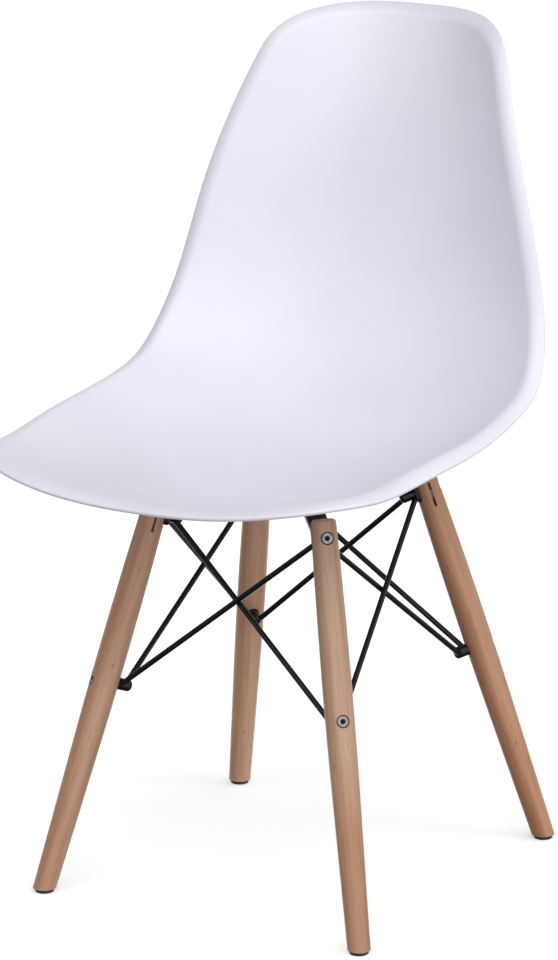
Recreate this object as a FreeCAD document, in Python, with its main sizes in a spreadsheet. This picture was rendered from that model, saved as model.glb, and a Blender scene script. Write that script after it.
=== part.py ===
import FreeCAD, Part
import Sketcher
import math
import os
import re
from FreeCAD import Vector, Placement, Rotation

doc = FreeCAD.newDocument("shell_chair")
sheet = doc.addObject("Spreadsheet::Sheet", "dims")

# Driving dimensions in millimetres and degrees. A value that starts with "=" is derived in the sheet.
DIMS = [
    # seat shell: edge, lip and dish
    ("shell_wall", 5.5), ("rim_wall", 4.6), ("rim_bulge", 1.5),
    ("lip_drop", 9.7), ("lip_zone", 25.7), ("lip_power", 2.5), ("dish_power", 2.35),
    ("front_round", 110.3), ("front_power", 3.25), ("top_round", 71.6), ("top_power", 2.68),
    # bosses under the seat, rubber pads and the crossed strips
    ("boss_reach", 56.0), ("boss_dia", 24.0), ("boss_high", 10.5), ("boss_bury", 2.6),
    ("pad_dia", 22.0), ("pad_high", 4.0), ("insert_dia", 8.0), ("insert_long", 10.0), ("screw_dia", 5.0),
    ("strip_wide", 20.0), ("strip_thick", 4.0), ("strip_flat", 72.0), ("arm_rise", 16.15),
    ("tab_below", 9.0), ("tab_above", 8.6), ("tab_corner", 6.0), ("bend_inner", 3.0),
    ("washer_dia", 14.0), ("washer_high", 1.2), ("screw_head_dia", 9.5), ("screw_head_high", 3.2),
    ("screw_socket", 4.0), ("screw_socket_deep", 1.8),
    # legs
    ("base_back", 8.0), ("leg_turn", 46.05), ("lean", 17.62), ("foot_reach", 257.3),
    ("upper_level", 375.6), ("lower_part", 0.559), ("leg_over", 19.0),
    ("foot_rad", 10.9), ("calf_rad", 13.1), ("calf_up", 130.0),
    ("belly_rad", 14.2), ("belly_up", 250.0), ("top_rad", 12.1), ("top_round_rad", 4.2),
    ("upper_swell", 0.4), ("lower_slim", 0.15), ("kerf", 2.6), ("kerf_below", 17.0),
    ("flat_depth", 1.45), ("flat_below", 10.5), ("spot_depth", 1.0),
    # bolts and sleeve nuts
    ("bolt_dia", 6.0), ("bolt_head_dia", 11.6), ("bolt_head_high", 3.0), ("bolt_sink", 4.2),
    ("bolt_socket", 5.0), ("socket_deep", 2.2), ("bolt_into_nut", 9.0), ("head_round", 0.9),
    ("nut_dia", 12.0), ("nut_long", 14.8), ("nut_round", 4.2),
    # brace rods: place of an end inside the side of its sleeve nut, turned from up the leg
    ("rod_dia", 5.5), ("rod_pitch", 8.0), ("rod_in", 5.0),
    ("rod_turn_upper", 125.0), ("rod_turn_lower", 80.0), ("rod_near_upper", -0.5), ("rod_near_lower", 2.6),
    # glides
    ("glide_dia", 18.6), ("glide_high", 4.0), ("glide_edge", 1.2), ("pin_dia", 3.0), ("pin_long", 14.0),
    # clearances
    ("hole_gap", 0.6), ("thread_gap", 0.1), ("sink_gap", 1.2), ("pin_gap", 0.1), ("tip_gap", 1.5),
    # derived
    ("leg_at_upper", "=upper_level / cos(lean * 1deg)"),
    ("leg_at_lower", "=leg_at_upper * lower_part"),
    ("leg_end", "=leg_at_upper + leg_over"),
    ("glide_reach", "=foot_reach - glide_high * tan(lean * 1deg)"),
    ("tab_face", "=top_rad + upper_swell - flat_depth"),
    ("nut_face_up", "=tab_face + strip_thick"),
    ("nut_face_low", "=belly_rad - lower_slim - spot_depth"),
    ("bore_dia", "=bolt_dia + hole_gap"),
    ("upper_seat", "=top_rad + upper_swell - bolt_sink"),
    ("lower_seat", "=belly_rad - bolt_sink"),
    ("tab_low", "=leg_at_upper - tab_below"),
    ("bend_along", "=leg_at_upper + tab_above"),
    ("bend_in", "=tab_face + strip_thick / 2"),
    ("bend_reach", "=foot_reach - bend_along * sin(lean * 1deg) - bend_in * cos(lean * 1deg)"),
    ("bend_level", "=bend_along * cos(lean * 1deg) - bend_in * sin(lean * 1deg)"),
    ("strip_base", "=bend_level - strip_thick / 2 + arm_rise"),
    ("pad_top", "=strip_base + strip_thick + pad_high"),
    ("seat_low", "=pad_top + boss_high + shell_wall"),
    ("arm_tilt", "=atan(arm_rise / (bend_reach - strip_flat)) / 1deg"),
    ("bend_mean", "=(arm_tilt + 90 - lean) / 2"),
    ("bend_over", "=strip_thick / 2 / cos((90 - lean - arm_tilt) / 2 * 1deg)"),
]
# centre line of the seat and back seen from the side, with heights above the seat's lowest point
LINE_Y = (-277.3, -195.8, -107.7, -20.6, 58.8, 123.6, 170.0, 199.9, 213.7, 232.4, 265.8)
LINE_UP = (31.2, 10.6, 5.4, 0.0, 3.4, 22.6, 66.5, 133.3, 219.0, 312.3, 405.3)
# half width and edge rise at fractions of the centre line
PARTS_OF = (0.0, 0.15, 0.30, 0.42, 0.52, 0.62, 0.75, 0.88, 1.0)
HALF_WIDE = (210.4, 217.0, 224.3, 221.5, 220.3, 210.4, 188.0, 150.8, 114.7)
EDGE_RISE = (34.7, 40.9, 55.6, 64.1, 68.6, 71.6, 72.6, 66.6, 53.4)
for i, (a, b) in enumerate(zip(LINE_Y, LINE_UP)):
    DIMS += [("line_y_%d" % i, a), ("line_up_%d" % i, b)]
for i, (a, b) in enumerate(zip(HALF_WIDE, EDGE_RISE)):
    DIMS += [("half_wide_%d" % i, a), ("edge_rise_%d" % i, b)]

for row, (name, value) in enumerate(DIMS, start=1):
    sheet.set("A%d" % row, name)
    sheet.set("B%d" % row, value if isinstance(value, str) else repr(value))
    sheet.setAlias("B%d" % row, name)
doc.recompute()


def num(name):
    return float(sheet.get(name))


# Seat shell: a dished strip along the centre line, with a lip that rolls away all round

def spline(xs, ys):
    """Natural cubic spline; returns a function giving value and slope."""
    n = len(xs)
    gap = [xs[i + 1] - xs[i] for i in range(n - 1)]
    bend = [0.0] * n
    low, high = [0.0] * n, [0.0] * n
    for i in range(1, n - 1):
        rise = (ys[i + 1] - ys[i]) / gap[i] - (ys[i] - ys[i - 1]) / gap[i - 1]
        pivot = 2 * (xs[i + 1] - xs[i - 1]) - gap[i - 1] * low[i - 1]
        low[i] = gap[i] / pivot
        high[i] = (6 * rise - gap[i - 1] * high[i - 1]) / pivot
    for i in range(n - 2, 0, -1):
        bend[i] = high[i] - low[i] * bend[i + 1]

    def at(x):
        i = 0
        while i < n - 2 and x > xs[i + 1]:
            i += 1
        h = gap[i]
        a, b = (xs[i + 1] - x) / h, (x - xs[i]) / h
        value = a * ys[i] + b * ys[i + 1]
        value += ((a ** 3 - a) * bend[i] + (b ** 3 - b) * bend[i + 1]) * h * h / 6
        slope = (ys[i + 1] - ys[i]) / h
        slope += ((3 * b * b - 1) * bend[i + 1] - (3 * a * a - 1) * bend[i]) * h / 6
        return value, slope
    return at


line_y = [num("line_y_%d" % i) for i in range(len(LINE_Y))]
line_z = [num("seat_low") + num("line_up_%d" % i) for i in range(len(LINE_UP))]
chord = [0.0]
for i in range(1, len(line_y)):
    chord.append(chord[-1] + math.hypot(line_y[i] - line_y[i - 1], line_z[i] - line_z[i - 1]))
long = chord[-1]
y_of, z_of = spline(chord, line_y), spline(chord, line_z)
wide_of = spline(PARTS_OF, [num("half_wide_%d" % i) for i in range(len(PARTS_OF))])
rise_of = spline(PARTS_OF, [num("edge_rise_%d" % i) for i in range(len(PARTS_OF))])
front_round, front_power = num("front_round"), num("front_power")
top_round, top_power = num("top_round"), num("top_power")
lip_drop, lip_zone, lip_power = num("lip_drop"), num("lip_zone"), num("lip_power")
dish_power, shell_wall, rim_wall = num("dish_power"), num("shell_wall"), num("rim_wall")


def half_wide(along):
    return wide_of(along / long)[0]


def corner(turn, end):
    """Point on the rounded front (end 0) or top (end 1); turn runs 0 at the middle to 1 at the side."""
    size, power = (front_round, front_power) if end == 0 else (top_round, top_power)
    c, s = math.cos(turn * math.pi / 2), math.sin(turn * math.pi / 2)
    back = size * (1 - max(c, 0.0) ** (2 / power))
    along = back if end == 0 else long - back
    return along, half_wide(along) * s ** (2 / power)


def walk(points, count):
    """Spread a count of points evenly along a chain of points."""
    dist = [0.0]
    for a, b in zip(points, points[1:]):
        dist.append(dist[-1] + math.hypot(b[0] - a[0], b[1] - a[1]))
    out, k = [], 0
    for i in range(count):
        want = dist[-1] * i / (count - 1)
        while k < len(points) - 2 and dist[k + 1] < want:
            k += 1
        part = (want - dist[k]) / (dist[k + 1] - dist[k])
        a, b = points[k], points[k + 1]
        out.append((a[0] + (b[0] - a[0]) * part, a[1] + (b[1] - a[1]) * part))
    return out


FINE = 60
front_half = [corner(0.5 * i / FINE, 0) for i in range(FINE + 1)]
side_run = [corner(0.5 + 0.5 * i / FINE, 0) for i in range(FINE + 1)]
side_run += [(front_round + (long - front_round - top_round) * i / FINE, 0) for i in range(1, FINE)]
side_run = [(a, w if w else half_wide(a)) for a, w in side_run]
side_run += [corner(1 - 0.5 * i / FINE, 1) for i in range(FINE + 1)]
top_half = [corner(0.5 - 0.5 * i / FINE, 1) for i in range(FINE + 1)]
half_edge = walk(front_half + side_run[1:] + top_half[1:], 260)
edge = half_edge + [(a, -w) for a, w in half_edge[-2:0:-1]]


def rim(along, across):
    """Distance to the outline and the direction away from it."""
    best = None
    for i in range(len(edge)):
        a, b = edge[i - 1], edge[i]
        du, dv = b[0] - a[0], b[1] - a[1]
        part = ((along - a[0]) * du + (across - a[1]) * dv) / (du * du + dv * dv)
        part = min(1.0, max(0.0, part))
        eu, ev = along - a[0] - du * part, across - a[1] - dv * part
        far = eu * eu + ev * ev
        if best is None or far < best[0]:
            best = (far, eu, ev, -dv, du)
    far = math.sqrt(best[0])
    if far > 0.5:
        return far, best[1] / far, best[2] / far
    size = math.hypot(best[3], best[4])
    return far, -best[3] / size, -best[4] / size


def raw(along, across, far):
    y, ty = y_of(along)
    z, tz = z_of(along)
    size = math.hypot(ty, tz)
    ty, tz = ty / size, tz / size
    part = along / long
    rise = rise_of(part)[0] * (abs(across) / wide_of(part)[0]) ** dish_power
    rise -= lip_drop * max(0.0, 1 - far / lip_zone) ** lip_power
    return Vector(across, y - tz * rise, z + ty * rise)


def skin_point(along, across):
    """Sitter-side point, outer-side point and outward edge direction."""
    far, gu, gv = rim(along, across)
    step = 0.2
    here = raw(along, across, far)
    du = raw(along + step, across, far + gu * step) - raw(along - step, across, far - gu * step)
    dv = raw(along, across + step, far + gv * step) - raw(along, across - step, far - gv * step)
    normal = dv.cross(du)
    normal.normalize()
    if normal.z < 0 and normal.y > 0:
        normal = normal * -1
    wall = shell_wall + (rim_wall - shell_wall) * max(0.0, 1 - far / (lip_zone * 1.5))
    out = (du * gu + dv * gv) * -1
    out.normalize()
    return here, here - normal * wall, out


ACROSS, ALONG = 13, 27
from_edge = (1.0, 0.7, 0.47, 0.31, 0.21, 0.13, 0.07, 0.028, 0.0)
left_to_right = [2.0 * j / (ACROSS - 1) - 1 for j in range(ACROSS)]
front_arc = walk([(a, -w) for a, w in front_half[::-1]] + front_half[1:], ACROSS)
top_arc = walk([(a, -w) for a, w in top_half] + top_half[-2::-1], ACROSS)
side_arc = walk(side_run, ALONG)
core_front = (0.7 * front_round, 0.55 * half_wide(0))
core_back = (long - 0.9 * top_round, 0.57 * half_wide(long))


def core(i, u):
    part = i / (ALONG - 1)
    wide = core_front[1] + (core_back[1] - core_front[1]) * part
    return core_front[0] + (core_back[0] - core_front[0]) * part, u * wide


def between(n, o, share):
    return o[0] + (n[0] - o[0]) * share, o[1] + (n[1] - o[1]) * share


def rays(inner, outer):
    return [[between(n, o, share) for n, o in zip(inner, outer)] for share in from_edge]


patches = {
    "core": [[core(i, u) for u in left_to_right] for i in range(ALONG)],
    "front": rays([core(0, u) for u in left_to_right], front_arc),
    "top": rays([core(ALONG - 1, u) for u in left_to_right], top_arc),
    "left": rays([core(i, 1) for i in range(ALONG)], side_arc),
    "right": rays([core(i, -1) for i in range(ALONG)], [(a, -w) for a, w in side_arc]),
}


def through(points, marks):
    curve = Part.BSplineCurve()
    curve.interpolate(Points=points, Parameters=marks)
    return curve


def surface(grid, row_marks, col_marks):
    rows = [through(row, col_marks) for row in grid]
    nets = [row.getPoles() for row in rows]
    cols = [through([net[k] for net in nets], row_marks) for k in range(len(nets[0]))]
    poles = [[col.getPole(i + 1) for col in cols] for i in range(cols[0].NbPoles)]
    face = Part.BSplineSurface()
    face.buildFromPolesMultsKnots(poles, cols[0].getMultiplicities(), rows[0].getMultiplicities(),
                                  cols[0].getKnots(), rows[0].getKnots(), False, False, 3, 3)
    return face.toShape()


ray_marks = [1.0 - share for share in from_edge]
round_marks = [0.0, 0.25, 0.5, 0.75, 1.0]
faces = []
for name, grid in patches.items():
    spots = [[skin_point(*p) for p in row] for row in grid]
    row_marks = [float(i) for i in range(len(grid))] if name == "core" else ray_marks
    col_marks = [float(j) for j in range(len(grid[0]))]
    for side in (0, 1):
        faces.append(surface([[s[side] for s in row] for row in spots], row_marks, col_marks))
    if name == "core":
        continue
    band = []
    for turn in round_marks:
        angle = math.pi * turn
        row = []
        for inner, outer, out in spots[-1]:
            middle = (inner + outer) * 0.5
            bulge = out * (num("rim_bulge") * math.sin(angle))
            row.append(middle + (inner - middle) * math.cos(angle) + bulge)
        band.append(row)
    faces.append(surface(band, round_marks, col_marks))

skin = Part.makeShell(faces)
skin.sewShape()
shell = Part.makeSolid(skin)
if shell.Volume < 0:
    shell.reverse()

turns = [num("leg_turn"), 180 - num("leg_turn"), 180 + num("leg_turn"), 360 - num("leg_turn")]
CORNERS = list(zip(("back_left", "back_right", "front_right", "front_left"), turns))
pad_top = num("pad_top")


def on_ring(reach, turn, level):
    """Point of the base, whose middle lies behind the origin."""
    angle = math.radians(turn)
    return Vector(reach * math.cos(angle), num("base_back") + reach * math.sin(angle), level)


def seat_height(x, y):
    """Height of the sitter-side skin above a point near the middle of the seat."""
    low, high = 0.0, 0.55 * long
    for _ in range(40):
        mid = (low + high) / 2
        if raw(mid, x, lip_zone).y < y:
            low = mid
        else:
            high = mid
    return raw(low, x, lip_zone).z


bosses, bores = [], []
for name, turn in CORNERS:
    base = on_ring(num("boss_reach"), turn, pad_top)
    level = seat_height(base.x, base.y) - num("boss_bury")
    bosses.append(Part.makeCylinder(num("boss_dia") / 2, level - pad_top, base))
    bores.append(Part.makeCylinder(num("insert_dia") / 2, num("insert_long"), base))
shell = shell.fuse(bosses).cut(Part.makeCompound(bores))

nodes = []


def node(shape, label):
    item = doc.addObject("Part::Feature", label)
    item.Shape = shape.Solids[0] if len(shape.Solids) == 1 else shape
    item.Label = label
    nodes.append(item)
    return item


node(shell, "seat_shell")

# Bodies: sketches whose points are tied to the sheet by expressions
NAMES = set(name for name, _ in DIMS)


def tied(expr):
    def named(match):
        word = match.group()
        return "dims." + word if word in NAMES else word
    return re.sub(r"[a-z][a-z_0-9]*", named, str(expr))


def value_of(expr):
    got = sheet.evalExpression(tied(expr))
    return float(getattr(got, "Value", got))


def body_of(label):
    body = doc.addObject("PartDesign::Body", label)
    body.Label = label
    return body


def sketch_on(body, role, level="0"):
    sk = doc.addObject("Sketcher::SketchObject", "outline")
    body.addObject(sk)
    sk.AttachmentSupport = ([f for f in body.Origin.OriginFeatures if f.Role == role][0], [""])
    sk.MapMode = "FlatFace"
    if level != "0":
        sk.setExpression(".AttachmentOffset.Base.z", tied(level))
    return sk


def fix(sk, index, point, x, y):
    """Tie one point of a sketch to the sheet."""
    for kind, expr in (("DistanceX", x), ("DistanceY", y)):
        sk.addConstraint(Sketcher.Constraint(kind, -1, 1, index, point, value_of(expr)))
        sk.setExpression("Constraints[%d]" % (sk.ConstraintCount - 1), tied(expr))


def outline(sk, points):
    """Closed chain of straight lines through points given as pairs of expressions."""
    spots = [Vector(value_of(x), value_of(y), 0) for x, y in points]
    first, count = sk.GeometryCount, len(points)
    for i in range(count):
        sk.addGeometry(Part.LineSegment(spots[i], spots[(i + 1) % count]), False)
    for i in range(count):
        sk.addConstraint(Sketcher.Constraint("Coincident", first + i, 2, first + (i + 1) % count, 1))
    for i, (x, y) in enumerate(points):
        fix(sk, first + i, 1, x, y)


def ring(sk, x, y, radius):
    spot = Vector(value_of(x), value_of(y), 0)
    index = sk.addGeometry(Part.Circle(spot, Vector(0, 0, 1), value_of(radius)), False)
    fix(sk, index, 3, x, y)
    sk.addConstraint(Sketcher.Constraint("Radius", index, value_of(radius)))
    sk.setExpression("Constraints[%d]" % (sk.ConstraintCount - 1), tied(radius))


def feature(body, kind, sk, **settings):
    item = doc.addObject("PartDesign::" + kind, kind.lower())
    body.addObject(item)
    item.Profile = sk
    for key, value in settings.items():
        if isinstance(value, str) and key == "Length":
            item.setExpression(key, tied(value))
        else:
            setattr(item, key, value)
    doc.recompute()
    return item


def turned(body, points):
    """Solid of revolution about the body's upright axis."""
    sk = sketch_on(body, "XZ_Plane")
    outline(sk, points)
    return feature(body, "Revolution", sk, ReferenceAxis=(sk, ["V_Axis"]), Angle=360.0)


def cut_through(body, role, points=None, circle=None):
    sk = sketch_on(body, role)
    if points:
        outline(sk, points)
    else:
        ring(sk, *circle)
    return feature(body, "Pocket", sk, Type="ThroughAll", Midplane=True)


def cut_outward(body, circle, level, away):
    """Round sinking along the body's X axis from a level; away is the side it opens to."""
    before = body.Shape.Volume
    sk = sketch_on(body, "YZ_Plane", level)
    ring(sk, *circle)
    item = feature(body, "Pocket", sk, Type="ThroughAll", Reversed=(away > 0))
    lost = before - body.Shape.Volume
    assert 1 < lost < 2500, (level, lost)
    return item


def soften(body, edges, radius):
    """Fillet on edges of the body's tip picked by a test."""
    tip = body.Tip
    names = ["Edge%d" % (i + 1) for i, e in enumerate(tip.Shape.Edges) if edges(e)]
    item = doc.addObject("PartDesign::Fillet", "soft_edge")
    body.addObject(item)
    item.Base = (tip, names)
    item.setExpression("Radius", tied(radius))
    doc.recompute()
    return item


# Turned wooden leg in its own frame: Z along the leg from the floor, X outward
FLOOR = "glide_high * tan(lean * 1deg)"


def pin_spot(side, up):
    """Point of the glide pin's hole, beside and above the middle of the cut foot."""
    x = "-(%s) * cos(lean * 1deg) + glide_high * sin(lean * 1deg)" % FLOOR
    z = "(%s) * sin(lean * 1deg) + glide_high * cos(lean * 1deg)" % FLOOR
    side = "%s * (pin_dia + pin_gap) / 2" % side
    return ("%s + %s * cos(lean * 1deg) + (%s) * sin(lean * 1deg)" % (x, side, up),
            "%s - %s * sin(lean * 1deg) + (%s) * cos(lean * 1deg)" % (z, side, up))


def leg_body(label):
    body = body_of(label)
    sk = sketch_on(body, "XZ_Plane")
    spots = [("0", "-12"), ("foot_rad", "-12"), ("calf_rad", "calf_up"),
             ("top_rad", "leg_end"), ("0", "leg_end")]
    ends = [Vector(value_of(x), value_of(y), 0) for x, y in spots]
    belly = Vector(value_of("belly_rad"), value_of("belly_up"), 0)
    for geometry in (Part.LineSegment(ends[0], ends[1]), Part.LineSegment(ends[1], ends[2]),
                     Part.Arc(ends[2], belly, ends[3]), Part.LineSegment(ends[3], ends[4]),
                     Part.LineSegment(ends[4], ends[0])):
        sk.addGeometry(geometry, False)
    sk.addGeometry(Part.Point(belly), True)
    low, top = (1, 2) if (sk.Geometry[2].StartPoint - ends[2]).Length < 1e-3 else (2, 1)
    for pair in ((0, 2, 1, 1), (1, 2, 2, low), (2, top, 3, 1), (3, 2, 4, 1), (4, 2, 0, 1)):
        sk.addConstraint(Sketcher.Constraint("Coincident", *pair))
    sk.addConstraint(Sketcher.Constraint("PointOnObject", 5, 1, 2))
    for index, point, spot in ((0, 1, spots[0]), (1, 1, spots[1]), (2, low, spots[2]),
                               (3, 1, spots[3]), (4, 1, spots[4]), (5, 1, ("belly_rad", "belly_up"))):
        fix(sk, index, point, *spot)
    feature(body, "Revolution", sk, ReferenceAxis=(sk, ["V_Axis"]), Angle=360.0)
    end = value_of("leg_end") - 0.01
    soften(body, lambda e: e.BoundBox.ZMin > end and isinstance(e.Curve, Part.Circle), "top_round_rad")
    high = "(glide_high %s 30 * sin(lean * 1deg)) / cos(lean * 1deg)"
    cut_through(body, "XZ_Plane", [("-30", high % "+"), ("-30", "-40"), ("30", "-40"), ("30", high % "-")])
    low, over = "leg_at_upper - kerf_below", "leg_end + 5"
    cut_through(body, "XZ_Plane", [("-kerf / 2", low), ("kerf / 2", low),
                                   ("kerf / 2", over), ("-kerf / 2", over)])
    low = "leg_at_upper - flat_below"
    cut_through(body, "XZ_Plane", [("-30", low), ("-tab_face", low), ("-tab_face", over), ("-30", over)])
    for level in ("leg_at_upper", "leg_at_lower"):
        cut_through(body, "YZ_Plane", circle=("0", level, "bore_dia / 2"))
    sink = "(bolt_head_dia + sink_gap) / 2"
    cut_outward(body, ("0", "leg_at_upper", sink), "upper_seat", 1)
    cut_outward(body, ("0", "leg_at_lower", sink), "lower_seat", 1)
    cut_outward(body, ("0", "leg_at_lower", "(nut_dia + sink_gap) / 2"), "-nut_face_low", -1)
    sk = sketch_on(body, "XZ_Plane")
    outline(sk, [pin_spot("0", "-6"), pin_spot("1", "-6"),
                 pin_spot("1", "pin_long"), pin_spot("0", "pin_long")])
    sk.addGeometry(Part.LineSegment(Vector(*map(value_of, pin_spot("0", "-6")), 0),
                                    Vector(*map(value_of, pin_spot("0", "pin_long")), 0)), True)
    sk.addConstraint(Sketcher.Constraint("Coincident", 4, 1, 0, 1))
    sk.addConstraint(Sketcher.Constraint("Coincident", 4, 2, 3, 1))
    feature(body, "Groove", sk, ReferenceAxis=(sk, ["Axis0"]), Angle=360.0)
    return body


def stand(item, reach, turn, tilt):
    """Stand an item on the floor at a reach from the base's middle, leaning in by a tilt."""
    spin = Rotation(Vector(0, 0, 1), turn) * Rotation(Vector(0, 1, 0), -tilt)
    item.Placement = Placement(on_ring(num(reach), turn, 0), spin)
    item.setExpression("Placement.Base.x", tied("%s * cos(%.6f deg)" % (reach, turn)))
    item.setExpression("Placement.Base.y", tied("base_back + %s * sin(%.6f deg)" % (reach, turn)))
    nodes.append(item)


lean = num("lean")
for name, turn in CORNERS:
    stand(leg_body("leg_" + name), "foot_reach", turn, lean)

# Glide with its pin, one under each leg
for name, turn in CORNERS:
    glide = body_of("glide_" + name)
    turned(glide, [("0", "0"), ("glide_dia / 2", "0"), ("glide_dia / 2", "glide_high"),
                   ("pin_dia / 2", "glide_high"), ("pin_dia / 2", "glide_high + pin_long - tip_gap"),
                   ("0", "glide_high + pin_long - tip_gap")])
    wide = value_of("glide_dia / 2") - 0.01
    soften(glide, lambda e: e.BoundBox.ZMax < 0.01 and e.BoundBox.XMax > wide, "glide_edge")
    stand(glide, "glide_reach", turn, 0)


# Crossed strips: flat over the middle, sloping arms, ends bent down against the legs
def strip_point(along, side):
    """Point of the bent end: along is a height up the leg, side the face of the strip."""
    out = "(bend_in %s)" % side
    return ("foot_reach - (%s) * sin(lean * 1deg) - %s * cos(lean * 1deg)" % (along, out),
            "(%s) * cos(lean * 1deg) - %s * sin(lean * 1deg)" % (along, out))


def strip_body(label, cross, upper):
    body = body_of(label)
    sk = sketch_on(body, "XZ_Plane")
    half = "strip_thick / 2"
    end_top = strip_point("tab_low", "- " + half)
    end_low = strip_point("tab_low", "+ " + half)
    out, up = "bend_over * sin(bend_mean * 1deg)", "bend_over * cos(bend_mean * 1deg)"
    right = [("strip_flat + %s * tan(arm_tilt / 2 * 1deg)" % half, "strip_base + strip_thick"),
             ("bend_reach + " + out, "bend_level + " + up), end_top, end_low,
             ("bend_reach - " + out, "bend_level - " + up),
             ("strip_flat - %s * tan(arm_tilt / 2 * 1deg)" % half, "strip_base")]
    left = [("-(%s)" % x, z) for x, z in right[::-1]]
    outline(sk, right + left)
    feature(body, "Pad", sk, Length="strip_wide", Midplane=True)
    for radius, corners in (("bend_inner", (4, 5)), ("bend_inner + strip_thick", (1, 0))):
        chosen = [(value_of(right[i][0]), value_of(right[i][1])) for i in corners]

        def at_bend(e):
            box = e.BoundBox
            if box.YLength < num("strip_wide") - 0.5:
                return False
            return any(abs(abs(box.XMin) - x) < 0.3 and abs(box.ZMin - z) < 0.3 for x, z in chosen)
        soften(body, at_bend, radius)
    low = value_of(end_low[1]) + 6

    def at_end(e):
        box = e.BoundBox
        beside = box.YLength < 0.01 and abs(abs(box.YMin) - num("strip_wide") / 2) < 0.01
        return beside and box.ZMax < low and e.Length < num("strip_thick") + 0.1
    soften(body, at_end, "tab_corner")
    for reach in ("boss_reach", "-boss_reach"):
        cut_through(body, "XY_Plane", circle=(reach, "0", "(screw_dia + hole_gap) / 2"))
    for side in ("", "-"):
        axis_at = [strip_point("leg_at_upper", "- 6"), strip_point("leg_at_upper", "+ 6")]
        wall = "leg_at_upper + bore_dia / 2"
        wall_at = [strip_point(wall, "+ 6"), strip_point(wall, "- 6")]
        sk = sketch_on(body, "XZ_Plane")
        outline(sk, [("%s(%s)" % (side, x), z) for x, z in axis_at + wall_at])
        sk.addGeometry(Part.LineSegment(sk.Geometry[0].StartPoint, sk.Geometry[0].EndPoint), True)
        sk.addConstraint(Sketcher.Constraint("Coincident", 4, 1, 0, 1))
        sk.addConstraint(Sketcher.Constraint("Coincident", 4, 2, 0, 2))
        feature(body, "Groove", sk, ReferenceAxis=(sk, ["Axis0"]), Angle=360.0)
    # half of the thickness gives way to the other strip where they cross
    sk = sketch_on(body, "XY_Plane", "strip_base + strip_thick / 2")
    reach, over = "(strip_wide + thread_gap) / 2", "(strip_wide / 2 + 1)"
    corners = []
    for a, b in ((1, -1), (1, 1), (-1, 1), (-1, -1)):
        corners.append(("(%d * %s + %d * %s * cos(%s)) / sin(%s)" % (a, reach, b, over, cross, cross),
                        "%d * %s" % (b, over)))
    outline(sk, corners)
    before = body.Shape.Volume
    feature(body, "Pocket", sk, Type="ThroughAll", Reversed=upper)
    crossing = num("strip_wide") ** 2 / math.sin(math.radians(2 * num("leg_turn")))
    share = (before - body.Shape.Volume) / (crossing * num("strip_thick") / 2)
    assert 0.9 < share < 1.1, share
    return body


for label, side, cross, upper in (("cross_strip_lower", 0, "(180 - 2 * leg_turn) * 1deg", True),
                                  ("cross_strip_upper", 1, "2 * leg_turn * 1deg", False)):
    strip = strip_body(label, cross, upper)
    strip.Placement = Placement(on_ring(0, 0, 0), Rotation(Vector(0, 0, 1), turns[side]))
    strip.setExpression("Placement.Base.y", tied("base_back"))
    nodes.append(strip)


# Fasteners: one body each, repeated as a group of separate solids
def group(master, label, places):
    shapes = []
    for place in places:
        copy = master.Shape.copy()
        copy.Placement = place
        shapes.append(copy)
    item = doc.addObject("Part::Feature", label)
    item.Shape = Part.makeCompound(shapes)
    item.Label = label
    nodes.append(item)
    return item


def leg_place(turn, tilt, along, out):
    angle = math.radians(lean)
    reach = num("foot_reach") - along * math.sin(angle) + out * math.cos(angle)
    level = along * math.cos(angle) + out * math.sin(angle)
    spin = Rotation(Vector(0, 0, 1), turn) * Rotation(Vector(0, 1, 0), tilt)
    return Placement(on_ring(reach, turn, level), spin)


def hexagon(size):
    return [("%s / sqrt(3) * %.9f" % (size, math.cos(math.radians(60 * k))),
             "%s / sqrt(3) * %.9f" % (size, math.sin(math.radians(60 * k)))) for k in range(6)]


def headed(label, shank, head, high, length, socket, deep):
    """Screw along Z with its head above the origin and a six-sided socket."""
    body = body_of(label)
    turned(body, [("0", "-(%s)" % length), ("%s / 2" % shank, "-(%s)" % length), ("%s / 2" % shank, "0"),
                  ("%s / 2" % head, "0"), ("%s / 2" % head, high), ("0", high)])
    top, wide = value_of(high) - 0.01, value_of("%s / 2" % head) - 0.01
    soften(body, lambda e: e.BoundBox.ZMin > top and e.BoundBox.XMax > wide, "head_round")
    sk = sketch_on(body, "XY_Plane", "%s - %s" % (high, deep))
    outline(sk, hexagon(socket))
    before = body.Shape.Volume
    feature(body, "Pocket", sk, Type="ThroughAll", Reversed=True)
    assert before - body.Shape.Volume < 0.3 * before
    return body


NUT_FACE = {"upper": "nut_face_up", "lower": "nut_face_low"}
for level, face in NUT_FACE.items():
    seat = level + "_seat"
    along = num("leg_at_" + level)
    bolt = headed("bolt_" + level, "bolt_dia", "bolt_head_dia", "bolt_head_high",
                  "%s + %s + bolt_into_nut" % (seat, face), "bolt_socket", "socket_deep")
    group(bolt, level + "_leg_bolts", [leg_place(t, 90 - lean, along, num(seat)) for t in turns])
    nut = body_of("nut_" + level)
    bore, deep = "(bolt_dia + thread_gap) / 2", "bolt_into_nut + tip_gap"
    turned(nut, [(bore, "0"), ("nut_dia / 2", "0"), ("nut_dia / 2", "nut_long"), ("0", "nut_long"),
                 ("0", deep), (bore, deep)])
    end, wide = num("nut_long") - 0.01, num("nut_dia") / 2 - 0.01
    soften(nut, lambda e: e.BoundBox.ZMin > end and e.BoundBox.XMax > wide, "nut_round")
    group(nut, level + "_sleeve_nuts", [leg_place(t, -90 - lean, along, -num(face)) for t in turns])

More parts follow.
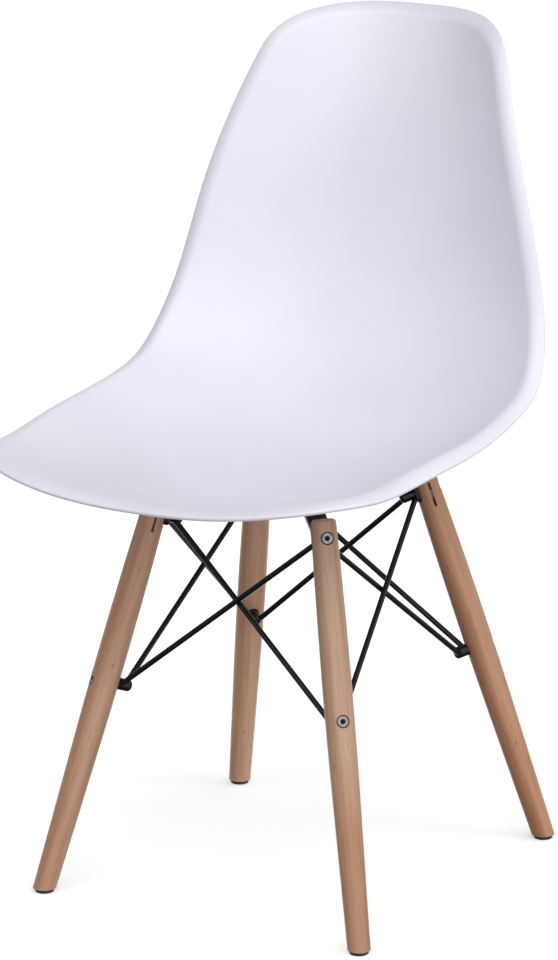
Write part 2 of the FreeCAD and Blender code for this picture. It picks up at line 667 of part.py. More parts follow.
ring_turns = []
for turn in turns:
    base = on_ring(num("boss_reach"), turn, num("strip_base"))
    ring_turns.append(Placement(base, Rotation(Vector(0, 0, 1), turn)))
screw = headed("screw", "screw_dia", "screw_head_dia", "screw_head_high",
               "washer_high + strip_thick + pad_high + insert_long - tip_gap",
               "screw_socket", "screw_socket_deep")
flip = Placement(Vector(0, 0, -num("washer_high")), Rotation(Vector(1, 0, 0), 180))
group(screw, "frame_screws", [place.multiply(flip) for place in ring_turns])


def washer(label, outer, inner, high):
    body = body_of(label)
    turned(body, [("(%s) / 2" % inner, "0"), ("(%s) / 2" % outer, "0"), ("(%s) / 2" % outer, high),
                  ("(%s) / 2" % inner, high)])
    return body


def raised(amount):
    return [place.multiply(Placement(Vector(0, 0, amount), Rotation())) for place in ring_turns]


group(washer("washer", "washer_dia", "screw_dia + hole_gap", "washer_high"), "frame_washers",
      raised(-num("washer_high")))
group(washer("pad", "pad_dia", "screw_dia + hole_gap", "pad_high"), "seat_pads",
      raised(num("strip_thick")))
group(washer("insert", "insert_dia - thread_gap", "screw_dia + thread_gap", "insert_long"),
      "seat_inserts", raised(num("strip_thick") + num("pad_high")))

# Brace rods: each runs from an upper sleeve nut down to the lower nut of the leg beside it, and its
# ends are cut to the nuts and strips that they are welded to
stops = [item for item in nodes if item.Label.startswith("cross_strip")]
for level, face in NUT_FACE.items():
    for name, turn in CORNERS:
        body = doc.addObject("Part::Cylinder", "nut_space")
        body.setExpression("Radius", tied("nut_dia / 2"))
        body.setExpression("Height", tied("nut_long"))
        body.Placement = leg_place(turn, -90 - lean, num("leg_at_" + level), -num(face))
        stops.append(body)
space = doc.addObject("Part::MultiFuse", "rod_stops")
space.Shapes = stops
doc.recompute()


def weld_point(level, turn, into, side):
    """Middle of a rod's end inside a nut; side is 1 where the rod leaves towards the next leg."""
    angle = math.radians(num("rod_turn_" + level))
    along = num("leg_at_" + level) + num("rod_in") * math.cos(angle)
    into += num("rod_near_" + level)
    place = leg_place(turn, 0, along, -num(NUT_FACE[level]) - into)
    return place.multVec(Vector(0, side * num("rod_in") * math.sin(angle), 0))


for k in range(4):
    here, after = CORNERS[k], CORNERS[(k + 1) % 4]
    for high, low, into, side in ((here, after, num("rod_pitch"), 1), (after, here, 0.0, -1)):
        start = weld_point("upper", high[1], into, side)
        finish = weld_point("lower", low[1], into, -side)
        label = "rod_%s_to_%s" % (high[0], low[0])
        bar = doc.addObject("Part::Cylinder", label + "_bar")
        bar.setExpression("Radius", tied("rod_dia / 2"))
        bar.Height = (finish - start).Length
        bar.Placement = Placement(start, Rotation(Vector(0, 0, 1), finish - start))
        rod = doc.addObject("Part::Cut", label)
        rod.Base, rod.Tool = bar, space
        rod.Label = label
        nodes.append(rod)
doc.recompute()
for item in nodes[-8:]:
    assert len(item.Shape.Solids) == 1, item.Label

for item in doc.Objects:
    assert not {"Invalid", "Error"} & set(item.State), (item.Label, item.State)
for item in nodes:
    assert not item.Shape.isNull() and item.Shape.isValid(), item.Label
os.makedirs("parts", exist_ok=True)
for item in nodes:
    item.Shape.exportStep(os.path.join("parts", item.Label + ".step"))
print(len(nodes), "nodes")
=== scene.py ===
import bpy
import bmesh
import math
import numpy as np
from mathutils import Matrix, Vector
from mathutils.bvhtree import BVHTree


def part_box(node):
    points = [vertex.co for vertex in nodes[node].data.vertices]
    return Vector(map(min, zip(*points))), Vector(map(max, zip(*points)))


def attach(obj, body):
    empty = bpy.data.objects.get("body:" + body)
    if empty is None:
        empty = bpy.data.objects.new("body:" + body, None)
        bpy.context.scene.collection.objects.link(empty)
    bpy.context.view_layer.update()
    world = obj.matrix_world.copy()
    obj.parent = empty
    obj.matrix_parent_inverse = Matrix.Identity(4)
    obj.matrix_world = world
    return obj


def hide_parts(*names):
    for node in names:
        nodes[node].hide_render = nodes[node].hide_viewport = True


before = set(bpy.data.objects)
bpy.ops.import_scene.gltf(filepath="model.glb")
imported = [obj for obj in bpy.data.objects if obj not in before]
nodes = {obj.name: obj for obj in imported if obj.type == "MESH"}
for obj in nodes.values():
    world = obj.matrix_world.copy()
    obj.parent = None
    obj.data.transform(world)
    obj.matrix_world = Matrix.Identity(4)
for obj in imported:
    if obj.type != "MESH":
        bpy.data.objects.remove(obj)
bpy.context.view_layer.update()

# Legs: turn about the chair and lean from upright, in degrees
LEG_TURNS = {"back_left": 46.05, "back_right": 133.95, "front_right": 226.05, "front_left": 313.95}
LEG_LEAN = 17.62
# Each leg's colour is multiplied by a tint near the floor and near the seat, blended between two heights in
# metres;
# the tints follow how bright each leg looks as lit, so they are partly the wood's own tone and partly painted
# light and shade
LEG_TONE_AND_LIGHT = {"back_left": ((0.92, 0.75, 0.64), (0.92, 0.75, 0.64)),
             "back_right": ((1.22, 1.18, 1.20), (1.22, 1.18, 1.20)),
             "front_right": ((0.97, 0.87, 0.82), (0.97, 0.87, 0.82)),
             "front_left": ((0.84, 0.71, 0.62), (1.0, 1.0, 1.03))}
TINT_BLEND = (0.11, 0.19)
# How far the grain of one leg is shifted from the next, in metres
GRAIN_SHIFT = (0.37, 0.61, 0.23)

# Seat shell, in millimetres: centre line seen from the side, then half width and edge rise along it
LINE_Y = (-277.3, -195.8, -107.7, -20.6, 58.8, 123.6, 170.0, 199.9, 213.7, 232.4, 265.8)
LINE_UP = (31.2, 10.6, 5.4, 0.0, 3.4, 22.6, 66.5, 133.3, 219.0, 312.3, 405.3)
PARTS_OF = (0.0, 0.15, 0.30, 0.42, 0.52, 0.62, 0.75, 0.88, 1.0)
HALF_WIDE = (210.4, 217.0, 224.3, 221.5, 220.3, 210.4, 188.0, 150.8, 114.7)
EDGE_RISE = (34.7, 40.9, 55.6, 64.1, 68.6, 71.6, 72.6, 66.6, 53.4)
DISH_POWER = 2.35
FRONT_ROUND, FRONT_POWER, TOP_ROUND, TOP_POWER = 110.3, 3.25, 71.6, 2.68
# The rolled lip's drop, width and power at the front and along the sides and top, with FRONT_REACH between;
# where it drops further than at the front, its crest stands LIP_LIFT of the rest higher
FRONT_LIP, SIDE_LIP, FRONT_REACH, LIP_LIFT = (9.7, 25.7, 2.5), (16.0, 16.0, 1.6), 120.0, 0.5
# The wall thins to RIM_WALL over RIM_TAPER widths of the front lip, and ends in a round rim
WALL, RIM_WALL, RIM_TAPER, RIM_BULGE = 5.5, 4.6, 1.5, 1.5

# Bosses under the seat and the inserts in them, in millimetres: FOOT_EDGE is how far in and up the foot's
# edge is rounded, and BOSS_SINK how far inside the shell's wall the flare ends
BOSS_REACH, BOSS_WIDE, BOSS_HIGH, BOSS_FILLET, BOSS_SINK = 56.0, 24.0, 10.5, 5.0, 2.0
FOOT_EDGE = ((0.8, 0.0), (0.2, 0.3), (0.0, 1.0))
INSERT_WIDE, INSERT_LONG, BASE_BACK = 8.0, 10.0, 8.0
BOSS_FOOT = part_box("seat_pads")[1].z * 1000
SEAT_LOW = BOSS_FOOT + BOSS_HIGH + WALL

# Bolt heads, in millimetres: where the painted shade in the driving socket and the painted shade round the
# rim of the head begin and end
BOLT_HEAD, BOLT_SOCKET = 11.6, 5.0
SOCKET_SHADE_FADE, RIM_SHADE_FADE = (-0.3, 0.2), (-1.1, -0.2)

# Fineness of the shell's mesh, and the distances in metres at which its points are joined
GRID_ACROSS, GRID_ALONG, GRID_RINGS, RIM_STEPS = 41, 93, 34, 9
CORNER_POINTS, SIDE_POINTS, EDGE_POINTS, BATCH = 400, 600, 1500, 2000
BOSS_SIDES, FILLET_STEPS = 48, 6
SHELL_JOIN, BOSS_JOIN = 0.00002, 0.000002
# Corners of the shell's middle grid, in shares of the end's round and half width; rings crowd towards the rim
CORE_FRONT, CORE_TOP = (0.70, 0.55), (0.90, 0.57)
RING_POWER = 1.5

# Camera: the photograph's viewing angle in degrees, places in metres
VIEW_TURN, VIEW_RISE, VIEW_ROLL = 31.06, 15.99, -0.888
VIEW_DISTANCE = 5.3256
VIEW_TARGET = Vector((-0.0137, 0.0080, 0.3937))
FOCAL_PIXELS, PICTURE_HIGH, SENSOR = 5478.0, 960.0, 36.0

# Soft lights: turn about the chair, rise above the floor, strength; GLOW_POWER narrows them all
LIGHTS = ((31, 0, 0.95), (76, 0, 1.10), (166, 0, 0.35), (256, 0, 0.25), (301, 0, 0.35), (346, 0, 0.10),
          (31, 45, 1.75), (91, 45, 0.15), (151, 45, 0.50), (121, 15, 0.55), (211, 30, 0.20), (211, -25, 1.80),
          (331, 45, 0.55), (0, 90, 0.40), (121, -40, 0.15))
GLOW_POWER = 6.0
FLOOR_REACH = 40.0


def link(tree, source, target):
    tree.links.new(source, target)


def material(name, color, roughness, metallic=0.0):
    mat = bpy.data.materials.new(name)
    mat.use_nodes = True
    tree = mat.node_tree
    shader = tree.nodes["Principled BSDF"]
    shader.inputs["Base Color"].default_value = (*color, 1.0)
    shader.inputs["Roughness"].default_value = roughness
    shader.inputs["Metallic"].default_value = metallic
    return mat, tree, shader


def coordinates(tree):
    """Place on the object, in metres."""
    return tree.nodes.new("ShaderNodeTexCoord").outputs["Object"]


def mapped(tree, vector, turn=(0, 0, 0), shift=(0, 0, 0), scale=(1, 1, 1)):
    """Vector scaled, then turned, then shifted."""
    item = tree.nodes.new("ShaderNodeMapping")
    item.vector_type = "POINT"
    item.inputs["Scale"].default_value = scale
    item.inputs["Rotation"].default_value = turn
    item.inputs["Location"].default_value = shift
    link(tree, vector, item.inputs["Vector"])
    return item.outputs["Vector"]


def noise(tree, vector, scale, detail=3.0, rough=0.5, distortion=0.0):
    item = tree.nodes.new("ShaderNodeTexNoise")
    item.inputs["Scale"].default_value = scale
    item.inputs["Detail"].default_value = detail
    item.inputs["Roughness"].default_value = rough
    item.inputs["Distortion"].default_value = distortion
    link(tree, vector, item.inputs["Vector"])
    return item.outputs["Fac"]


def ramp(tree, value, stops):
    """Colour that follows a value through stops of (value, colour)."""
    item = tree.nodes.new("ShaderNodeValToRGB")
    row = item.color_ramp.elements
    for i, (at, color) in enumerate(stops):
        stop = row[i] if i < 2 else row.new(at)
        stop.position = at
        stop.color = (*color, 1.0)
    link(tree, value, item.inputs["Fac"])
    return item.outputs["Color"]


def spread(tree, value, low, high, between=(0.0, 1.0)):
    """Value that runs from low to high as another runs between two limits."""
    item = tree.nodes.new("ShaderNodeMapRange")
    item.inputs["From Min"].default_value = between[0]
    item.inputs["From Max"].default_value = between[1]
    item.inputs["To Min"].default_value = low
    item.inputs["To Max"].default_value = high
    link(tree, value, item.inputs["Value"])
    return item.outputs["Result"]


def bump(tree, shader, height, distance, strength):
    item = tree.nodes.new("ShaderNodeBump")
    item.inputs["Strength"].default_value = strength
    item.inputs["Distance"].default_value = distance
    link(tree, height, item.inputs["Height"])
    link(tree, item.outputs["Normal"], shader.inputs["Normal"])


def mixed(tree, factor, first, second, kind="MIX"):
    """Colour between two; each input is a number, a colour or another node's output."""
    item = tree.nodes.new("ShaderNodeMix")
    item.data_type = "RGBA"
    item.blend_type = kind
    for socket, value in ((item.inputs[0], factor), (item.inputs[6], first), (item.inputs[7], second)):
        if isinstance(value, (int, float)):
            socket.default_value = value
        elif isinstance(value, tuple):
            socket.default_value = (*value, 1.0)
        else:
            link(tree, value, socket)
    return item.outputs[2]


def vector_step(tree, operation, vector, value=None):
    item = tree.nodes.new("ShaderNodeVectorMath")
    item.operation = operation
    link(tree, vector, item.inputs[0])
    if value is not None:
        item.inputs[1].default_value = value
    return item.outputs["Value" if operation in ("LENGTH", "DOT_PRODUCT") else "Vector"]


def scalar_step(tree, operation, value, other):
    item = tree.nodes.new("ShaderNodeMath")
    item.operation = operation
    for socket, part in zip(item.inputs, (value, other)):
        if isinstance(part, float):
            socket.default_value = part
        else:
            link(tree, part, socket)
    return item.outputs["Value"]


def moulded_white():
    mat, tree, shader = material("moulded_white", (0.80, 0.79, 0.875), 0.32)
    place = coordinates(tree)
    cloud = noise(tree, place, 9.0, 2.0)
    tone = ramp(tree, cloud, [(0.3, (0.785, 0.772, 0.862)), (0.7, (0.815, 0.803, 0.893))])
    link(tree, tone, shader.inputs["Base Color"])
    link(tree, spread(tree, noise(tree, place, 26.0, 2.0), 0.30, 0.40), shader.inputs["Roughness"])
    bump(tree, shader, noise(tree, place, 1100.0, 2.0), 0.00004, 0.5)
    shader.inputs["IOR"].default_value = 1.49
    return mat


def beech(corner, seed):
    """Steamed beech: fine long grain, short dark flecks, pinkish brown, times the leg's tint, which is partly
    painted light and shade.
    """
    mat, tree, shader = material("beech_" + corner, (0.47, 0.29, 0.19), 0.42)
    place = coordinates(tree)
    upright = mapped(tree, mapped(tree, place, turn=(0, 0, -math.radians(LEG_TURNS[corner]))),
                     turn=(0, math.radians(LEG_LEAN), 0), shift=[seed * step for step in GRAIN_SHIFT])

    def along(stretch):
        return mapped(tree, upright, scale=(1.0, 1.0, stretch))

    broad = noise(tree, along(0.06), 46.0, 2.0, 0.5, 0.4)
    fine = noise(tree, along(0.03), 380.0, 4.0, 0.6)
    flecks = noise(tree, along(0.35), 300.0, 1.0, 0.5)
    base = ramp(tree, broad, [(0.30, (0.42, 0.225, 0.13)), (0.50, (0.51, 0.31, 0.20)),
                              (0.70, (0.58, 0.38, 0.265))])
    streaks = ramp(tree, fine, [(0.36, (0.80, 0.74, 0.70)), (0.58, (1.0, 1.0, 1.0))])
    marks = ramp(tree, flecks, [(0.72, (0.0, 0.0, 0.0)), (0.77, (0.8, 0.8, 0.8))])
    color = mixed(tree, 0.7, base, streaks, "MULTIPLY")
    color = mixed(tree, marks, color, (0.30, 0.12, 0.07))
    height = tree.nodes.new("ShaderNodeSeparateXYZ")
    link(tree, place, height.inputs["Vector"])
    # partly painted light and shade: each leg's tint, blended from near the floor to near the seat
    tone_and_light = mixed(tree, spread(tree, height.outputs["Z"], 0.0, 1.0, TINT_BLEND), *LEG_TONE_AND_LIGHT[corner])
    color = mixed(tree, 1.0, color, tone_and_light, "MULTIPLY")
    link(tree, color, shader.inputs["Base Color"])
    link(tree, spread(tree, fine, 0.46, 0.34), shader.inputs["Roughness"])
    bump(tree, shader, fine, 0.00008, 0.5)
    shader.inputs["Coat Weight"].default_value = 0.2
    shader.inputs["Coat Roughness"].default_value = 0.25
    return mat


def painted_black():
    mat, tree, shader = material("painted_black", (0.006, 0.006, 0.007), 0.28)
    place = coordinates(tree)
    cloud = noise(tree, place, 60.0, 3.0)
    tone = ramp(tree, cloud, [(0.3, (0.004, 0.004, 0.005)), (0.7, (0.009, 0.009, 0.010))])
    link(tree, tone, shader.inputs["Base Color"])
    link(tree, spread(tree, noise(tree, place, 300.0, 3.0), 0.12, 0.26), shader.inputs["Roughness"])
    bump(tree, shader, noise(tree, place, 1400.0, 2.0), 0.00003, 0.4)
    shader.inputs["Specular IOR Level"].default_value = 0.30
    return mat


def plated_steel(name="plated_steel"):
    """Dull zinc-plated steel; also returns what a finish over it starts from."""
    mat, tree, shader = material(name, (0.42, 0.42, 0.44), 0.34, 1.0)
    place = coordinates(tree)
    cloud = noise(tree, place, 240.0, 4.0)
    color = ramp(tree, cloud, [(0.25, (0.17, 0.17, 0.19)), (0.75, (0.34, 0.34, 0.37))])
    link(tree, color, shader.inputs["Base Color"])
    link(tree, spread(tree, noise(tree, place, 500.0, 3.0), 0.22, 0.42), shader.inputs["Roughness"])
    bump(tree, shader, noise(tree, place, 1600.0, 2.0), 0.00003, 0.5)
    return mat, tree, shader, color


def bolt_steel(node):
    """Steel of the bolts across the legs, with painted shade in the driving socket and round the rim of the
    head.
    """
    mat, tree, shader, color = plated_steel("steel_" + node)
    turn, lean = math.radians(LEG_TURNS["back_left"]), math.radians(LEG_LEAN)
    middle = Vector((0, BASE_BACK / 1000, 0))
    along = [-math.sin(lean) * (math.cos(turn) * p.x + math.sin(turn) * p.y) + math.cos(lean) * p.z
             for p in (v.co - middle for v in nodes[node].data.vertices) if p.x > 0 and p.y > 0]
    folded = vector_step(tree, "ABSOLUTE", vector_step(tree, "SUBTRACT", coordinates(tree), middle))
    leg = mapped(tree, mapped(tree, folded, turn=(0, 0, -turn)), turn=(0, lean, 0))
    leg = vector_step(tree, "SUBTRACT", leg, (0, 0, (min(along) + max(along)) / 2))
    reach = vector_step(tree, "LENGTH", vector_step(tree, "MULTIPLY", leg, (0, 1, 1)))

    def around(size, fade):
        return [(size / 2 + step) / 1000 for step in fade]

    # painted shade: near black in the driving socket and dark round the rim of the head, by distance from the
    # bolt's axis
    socket = spread(tree, reach, 1.0, 0.0, around(BOLT_SOCKET, SOCKET_SHADE_FADE))
    edge = spread(tree, reach, 0.0, 0.75, around(BOLT_HEAD, RIM_SHADE_FADE))
    color = mixed(tree, edge, color, (0.03, 0.03, 0.035))
    color = mixed(tree, socket, color, (0.012, 0.012, 0.014))
    link(tree, color, shader.inputs["Base Color"])
    return mat


def brass():
    mat, tree, shader = material("brass", (0.60, 0.43, 0.18), 0.32, 1.0)
    place = coordinates(tree)
    cloud = noise(tree, place, 260.0, 3.0)
    tone = ramp(tree, cloud, [(0.3, (0.50, 0.35, 0.14)), (0.7, (0.66, 0.48, 0.21))])
    link(tree, tone, shader.inputs["Base Color"])
    link(tree, spread(tree, noise(tree, place, 600.0, 3.0), 0.25, 0.42), shader.inputs["Roughness"])
    return mat


def rubber():
    mat, tree, shader = material("rubber", (0.022, 0.022, 0.023), 0.72)
    place = coordinates(tree)
    cloud = noise(tree, place, 150.0, 3.0)
    tone = ramp(tree, cloud, [(0.3, (0.017, 0.017, 0.018)), (0.7, (0.030, 0.030, 0.031))])
    link(tree, tone, shader.inputs["Base Color"])
    bump(tree, shader, noise(tree, place, 1500.0, 3.0), 0.00008, 0.6)
    return mat


def glide_black():
    mat, tree, shader = material("glide_black", (0.016, 0.016, 0.017), 0.5)
    place = coordinates(tree)
    cloud = noise(tree, place, 200.0, 3.0)
    tone = ramp(tree, cloud, [(0.3, (0.012, 0.012, 0.013)), (0.7, (0.024, 0.024, 0.025))])
    link(tree, tone, shader.inputs["Base Color"])
    link(tree, spread(tree, noise(tree, place, 420.0, 3.0), 0.42, 0.60), shader.inputs["Roughness"])
    bump(tree, shader, noise(tree, place, 1300.0, 3.0), 0.00006, 0.6)
    return mat


def spline(xs, ys):
    """Natural cubic spline; returns a function giving values and slopes of an array."""
    xs, ys = np.array(xs, float), np.array(ys, float)
    gap = np.diff(xs)
    rows, right = np.eye(len(xs)), np.zeros(len(xs))
    for i in range(1, len(xs) - 1):
        rows[i, i - 1:i + 2] = gap[i - 1], 2 * (gap[i - 1] + gap[i]), gap[i]
        right[i] = 6 * ((ys[i + 1] - ys[i]) / gap[i] - (ys[i] - ys[i - 1]) / gap[i - 1])
    bend = np.linalg.solve(rows, right)

    def at(x):
        i = np.clip(np.searchsorted(xs, x) - 1, 0, len(gap) - 1)
        h = gap[i]
        a, b = (xs[i + 1] - x) / h, (x - xs[i]) / h
        value = a * ys[i] + b * ys[i + 1] + ((a ** 3 - a) * bend[i] + (b ** 3 - b) * bend[i + 1]) * h * h / 6
        slope = (ys[i + 1] - ys[i]) / h + ((3 * b * b - 1) * bend[i + 1] - (3 * a * a - 1) * bend[i]) * h / 6
        return value, slope
    return at


line_z = SEAT_LOW + np.array(LINE_UP)
chord = np.concatenate([[0], np.cumsum(np.hypot(np.diff(LINE_Y), np.diff(line_z)))])
LONG = chord[-1]
y_of, z_of = spline(chord, LINE_Y), spline(chord, line_z)
wide_of, rise_of = spline(PARTS_OF, HALF_WIDE), spline(PARTS_OF, EDGE_RISE)


def rounded_end(turn, size, power, start, sign):
    """Rounded end of the outline; turn runs from 0 at the middle to 1 at the side."""
    c = np.clip(np.cos(turn * math.pi / 2), 0, 1)
    along = start + sign * size * (1 - c ** (2 / power))
    return np.stack([along, wide_of(along / LONG)[0] * np.sin(turn * math.pi / 2) ** (2 / power)], 1)


def walk(points, count):
    """Spread points evenly along a chain of points."""
    dist = np.concatenate([[0], np.cumsum(np.hypot(*np.diff(points, axis=0).T))])
    want = np.linspace(0, dist[-1], count)
    return np.stack([np.interp(want, dist, points[:, k]) for k in (0, 1)], 1)


def outline_runs():
    """Half outline of the flat blank as three runs: half the front, a side, half the top."""
    fine = np.linspace(0, 1, CORNER_POINTS)
    front = rounded_end(fine / 2, FRONT_ROUND, FRONT_POWER, 0, 1)
    side_run = np.linspace(FRONT_ROUND, LONG - TOP_ROUND, SIDE_POINTS)[1:-1]
    side = np.concatenate([
        rounded_end(0.5 + fine / 2, FRONT_ROUND, FRONT_POWER, 0, 1),
        np.stack([side_run, wide_of(side_run / LONG)[0]], 1),
        rounded_end(1 - fine / 2, TOP_ROUND, TOP_POWER, LONG, -1)])
    top = rounded_end(0.5 - fine / 2, TOP_ROUND, TOP_POWER, LONG, -1)
    return front, side, top


def rim(points, edge):
    """Distance to the outline and the direction away from it, for many points."""
    start, step = edge, np.roll(edge, -1, axis=0) - edge
    size = (step ** 2).sum(1)
    far = np.empty(len(points))
    away = np.empty((len(points), 2))
    for first in range(0, len(points), BATCH):
        block = points[first:first + BATCH, None, :]
        part = np.clip(((block - start) * step).sum(2) / size, 0, 1)
        gap = block - start - step * part[..., None]
        dist = (gap ** 2).sum(2)
        near = dist.argmin(1)
        rows = np.arange(len(near))
        gap, dist = gap[rows, near], np.sqrt(dist[rows, near])
        # within half a millimetre of the outline, its own square direction is the steadier one
        across = np.stack([step[near, 1], -step[near, 0]], 1) / np.sqrt(size[near])[:, None]
        on_edge = dist < 0.5
        far[first:first + BATCH] = dist
        away[first:first + BATCH] = np.where(on_edge[:, None], across, gap / np.maximum(dist, 1e-9)[:, None])
    return far, away


def sheet_point(blank, far):
    """Sitter-side surface over points of the flat blank."""
    along, across = blank.T
    (y, ty), (z, tz) = y_of(along), z_of(along)
    size = np.hypot(ty, tz)
    part = along / LONG
    front = np.exp(-(along / FRONT_REACH) ** 2)
    drop, zone, power = (b + (a - b) * front for a, b in zip(FRONT_LIP, SIDE_LIP))
    lift = LIP_LIFT * (drop - FRONT_LIP[0])
    rise = (rise_of(part)[0] + lift) * (np.abs(across) / wide_of(part)[0]) ** DISH_POWER
    rise = rise - drop * np.clip(1 - far / zone, 0, None) ** power
    return np.stack([across, y - tz / size * rise, z + ty / size * rise], 1)


def skins(blank, edge):
    """Sitter-side points, outer-side points and outward edge directions."""
    far, away = rim(blank, edge)
    step = 0.2
    here = sheet_point(blank, far)
    slopes = []
    for k in (0, 1):
        shift = np.zeros(2)
        shift[k] = step
        slopes.append(sheet_point(blank + shift, far + away[:, k] * step)
                      - sheet_point(blank - shift, far - away[:, k] * step))
    normal = np.cross(slopes[1], slopes[0])
    normal /= np.linalg.norm(normal, axis=1)[:, None]
    # the sitter's side faces up or forwards
    normal[(normal[:, 2] < 0) & (normal[:, 1] > 0)] *= -1
    wall = WALL + (RIM_WALL - WALL) * np.clip(1 - far / (FRONT_LIP[1] * RIM_TAPER), 0, None)
    out = -(slopes[0] * away[:, :1] + slopes[1] * away[:, 1:])
    out /= np.linalg.norm(out, axis=1)[:, None]
    return here, here - normal * wall[:, None], out


def blank_grids():
    """Quad grids that cover the flat blank: a middle one and rays out to the outline."""
    front, side, top = outline_runs()
    flip = np.array([1, -1])
    front_arc = walk(np.concatenate([front[::-1] * flip, front[1:]]), GRID_ACROSS)
    top_arc = walk(np.concatenate([top * flip, top[::-1][1:]]), GRID_ACROSS)
    side_arc = walk(side, GRID_ALONG)
    part = np.linspace(0, 1, GRID_ALONG)[:, None, None]
    low = np.array([CORE_FRONT[0] * FRONT_ROUND, CORE_FRONT[1] * HALF_WIDE[0]])
    high = np.array([LONG - CORE_TOP[0] * TOP_ROUND, CORE_TOP[1] * HALF_WIDE[-1]])
    ends = low + (high - low) * part
    u = np.linspace(-1, 1, GRID_ACROSS)[None, :, None]
    core = np.concatenate([ends[..., :1] + 0 * u, ends[..., 1:] * u], 2)
    share = (np.linspace(1, 0, GRID_RINGS) ** RING_POWER)[:, None, None]
    grids = [core]
    for inner, outer in ((core[0], front_arc), (core[-1], top_arc), (core[:, -1], side_arc),
                         (core[:, 0], side_arc * flip)):
        grids.append(outer + (inner - outer) * share)
    return grids, walk(np.concatenate([front, side[1:], top[1:]]), EDGE_POINTS)


def grid_faces(high, wide, start):
    """Quads over a grid of points whose first is numbered start."""
    corners = [start + i * wide + j for i in range(high - 1) for j in range(wide - 1)]
    return [(k, k + 1, k + wide + 1, k + wide) for k in corners]


def shell_mesh(bm):
    """Both skins of the shell and the round rim between them, joined into one mesh."""
    grids, half = blank_grids()
    edge = np.concatenate([half, half[-2:0:-1] * np.array([1, -1])])
    points, faces, count = [], [], 0
    for index, grid in enumerate(grids):
        high, wide = grid.shape[:2]
        inner, outer, out = skins(grid.reshape(-1, 2), edge)
        sides = [inner.reshape(high, wide, 3), outer.reshape(high, wide, 3)]
        if index:
            angle = np.linspace(0, math.pi, RIM_STEPS)[:, None, None]
            a, b, away = sides[0][-1], sides[1][-1], out.reshape(high, wide, 3)[-1]
            middle = (a + b) / 2
            sides.append(middle + (a - middle) * np.cos(angle) + away * RIM_BULGE * np.sin(angle))
        for part in sides:
            points.append(part.reshape(-1, 3))
            faces += grid_faces(*part.shape[:2], count)
            count += part.shape[0] * part.shape[1]
    verts = [bm.verts.new(p) for p in np.concatenate(points) / 1000]
    for face in faces:
        bm.faces.new([verts[k] for k in face])
    bmesh.ops.remove_doubles(bm, verts=bm.verts, dist=SHELL_JOIN)
    bmesh.ops.recalc_face_normals(bm, faces=bm.faces)


def boss_mesh(bm, under, turn):
    """Round boss with its insert's bore; its top flares into the underside of the seat."""
    middle = Vector((BOSS_REACH * math.cos(turn), BASE_BACK + BOSS_REACH * math.sin(turn), 0)) / 1000
    foot, deep = BOSS_FOOT / 1000, (BOSS_FOOT + INSERT_LONG) / 1000
    wide, bore, fillet = BOSS_WIDE / 2000, INSERT_WIDE / 2000, BOSS_FILLET / 1000
    # each ring's radius, then its height, or its height over the shell's underside
    profile = [(0.0, deep, None), (bore, deep, None), (bore, foot, None)]
    profile += [(wide - inward / 1000, foot + up / 1000, None) for inward, up in FOOT_EDGE]
    for k in range(FILLET_STEPS + 1):
        angle = math.pi / 2 * k / FILLET_STEPS
        profile.append((wide + fillet * (1 - math.cos(angle)), None, -fillet * (1 - math.sin(angle))))
    profile.append((wide + fillet, None, BOSS_SINK / 1000))
    rings = []
    for reach, level, over in profile:
        row = []
        for k in range(BOSS_SIDES):
            angle = 2 * math.pi * k / BOSS_SIDES
            spot = middle + Vector((math.cos(angle), math.sin(angle), 0)) * reach
            spot.z = foot if level is None else level
            if level is None:
                spot.z = under.ray_cast(spot, Vector((0, 0, 1)))[0].z + over
            row.append(bm.verts.new(spot))
        rings.append(row)
    for low, high in zip(rings, rings[1:]):
        for k in range(BOSS_SIDES):
            following = (k + 1) % BOSS_SIDES
            bm.faces.new((low[k], low[following], high[following], high[k]))


def seat_shell(mat):
    bm = bmesh.new()
    shell_mesh(bm)
    bm.normal_update()
    under = BVHTree.FromBMesh(bm)
    for turn in LEG_TURNS.values():
        boss_mesh(bm, under, math.radians(turn))
    bmesh.ops.remove_doubles(bm, verts=bm.verts, dist=BOSS_JOIN)
    mesh = bpy.data.meshes.new("shell")
    bm.to_mesh(mesh)
    bm.free()
    mesh.shade_smooth()
    mesh.materials.append(mat)
    item = bpy.data.objects.new("shell", mesh)
    bpy.context.scene.collection.objects.link(item)
    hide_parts("seat_shell")
    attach(item, "root")


def paint(name, mat):
    """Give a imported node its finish."""
    materials = nodes[name].data.materials
    materials.clear()
    materials.append(mat)


def floor():
    """Plain white floor that takes the chair's shadow and throws no light back on it."""
    mesh = bpy.data.meshes.new("floor")
    corners = [(x * FLOOR_REACH, y * FLOOR_REACH, 0) for x, y in ((-1, -1), (1, -1), (1, 1), (-1, 1))]
    mesh.from_pydata(corners, [], [(0, 1, 2, 3)])
    item = bpy.data.objects.new("floor", mesh)
    bpy.context.scene.collection.objects.link(item)
    mat, _, shader = material("floor_white", (0.90, 0.90, 0.90), 0.9)
    shader.inputs["Specular IOR Level"].default_value = 0.0
    shader.inputs["Emission Color"].default_value = (1.0, 1.0, 1.0, 1.0)
    shader.inputs["Emission Strength"].default_value = 0.40
    mesh.materials.append(mat)
    item.visible_diffuse = item.visible_glossy = item.visible_shadow = False


def direction(turn, rise):
    """Unit vector from the chair towards an angle about it and above the floor."""
    a, e = math.radians(turn), math.radians(rise)
    return Vector((math.sin(a) * math.cos(e), -math.cos(a) * math.cos(e), math.sin(e)))


def lamp(name, turn, rise, wide, strength):
    """Small soft lamp that draws thin bright lines along the painted rods."""
    sun = bpy.data.lights.new(name, "SUN")
    sun.angle, sun.energy = math.radians(wide), strength
    item = bpy.data.objects.new(name, sun)
    bpy.context.scene.collection.objects.link(item)
    item.rotation_euler = direction(turn, rise).to_track_quat("Z", "Y").to_euler()


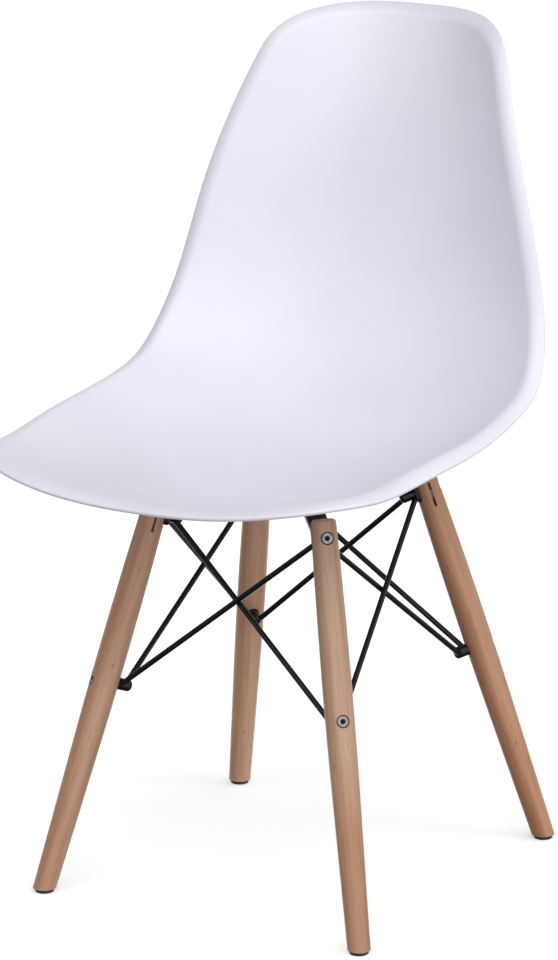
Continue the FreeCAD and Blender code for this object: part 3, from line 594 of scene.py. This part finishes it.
def studio():
    """Soft lights all round, each a wide glow in the world about its turn and rise."""
    world = bpy.data.worlds.new("studio")
    world.use_nodes = True
    tree = world.node_tree
    place = tree.nodes.new("ShaderNodeTexCoord").outputs["Generated"]
    level = None
    for turn, rise, strength in LIGHTS:
        facing = vector_step(tree, "DOT_PRODUCT", place, direction(turn, rise))
        glow = scalar_step(tree, "POWER", scalar_step(tree, "MAXIMUM", facing, 0.0), GLOW_POWER)
        glow = scalar_step(tree, "MULTIPLY", glow, strength)
        level = glow if level is None else scalar_step(tree, "ADD", level, glow)
    background = tree.nodes["Background"]
    background.inputs["Color"].default_value = (1.0, 1.0, 1.0, 1.0)
    link(tree, level, background.inputs["Strength"])
    bpy.context.scene.world = world


def photo_camera():
    """Camera at the photograph's viewing angle, rolled as it is."""
    roll = math.radians(VIEW_ROLL)
    away = direction(VIEW_TURN, VIEW_RISE)
    right = Vector((0, 0, 1)).cross(away).normalized()
    up = away.cross(right)
    side = right * math.cos(roll) + up * math.sin(roll)
    top = up * math.cos(roll) - right * math.sin(roll)
    lens = bpy.data.cameras.new("camera")
    lens.sensor_fit = "AUTO"
    lens.sensor_width = SENSOR
    lens.lens = FOCAL_PIXELS / PICTURE_HIGH * SENSOR
    camera = bpy.data.objects.new("camera", lens)
    bpy.context.scene.collection.objects.link(camera)
    facing = Matrix((side, top, away)).transposed().to_4x4()
    camera.matrix_world = Matrix.Translation(VIEW_TARGET + away * VIEW_DISTANCE) @ facing
    bpy.context.scene.camera = camera


white, black, steel = moulded_white(), painted_black(), plated_steel()[0]
yellow, pad_black, foot_black = brass(), rubber(), glide_black()
seat_shell(white)
paint("seat_inserts", yellow)
paint("seat_pads", pad_black)
for name in ("frame_screws", "frame_washers"):
    paint(name, steel)
for name in ("upper_leg_bolts", "lower_leg_bolts"):
    paint(name, bolt_steel(name))
for name in nodes:
    if name.startswith(("rod_", "cross_strip")) or name.endswith("sleeve_nuts"):
        paint(name, black)
    elif name.startswith("glide_"):
        paint(name, foot_black)
for seed, corner in enumerate(LEG_TURNS, start=1):
    paint("leg_" + corner, beech(corner, seed))

floor()
studio()
lamp("key", turn=95, rise=40, wide=16, strength=0.25)
bpy.context.scene.view_settings.view_transform = "Standard"
photo_camera()
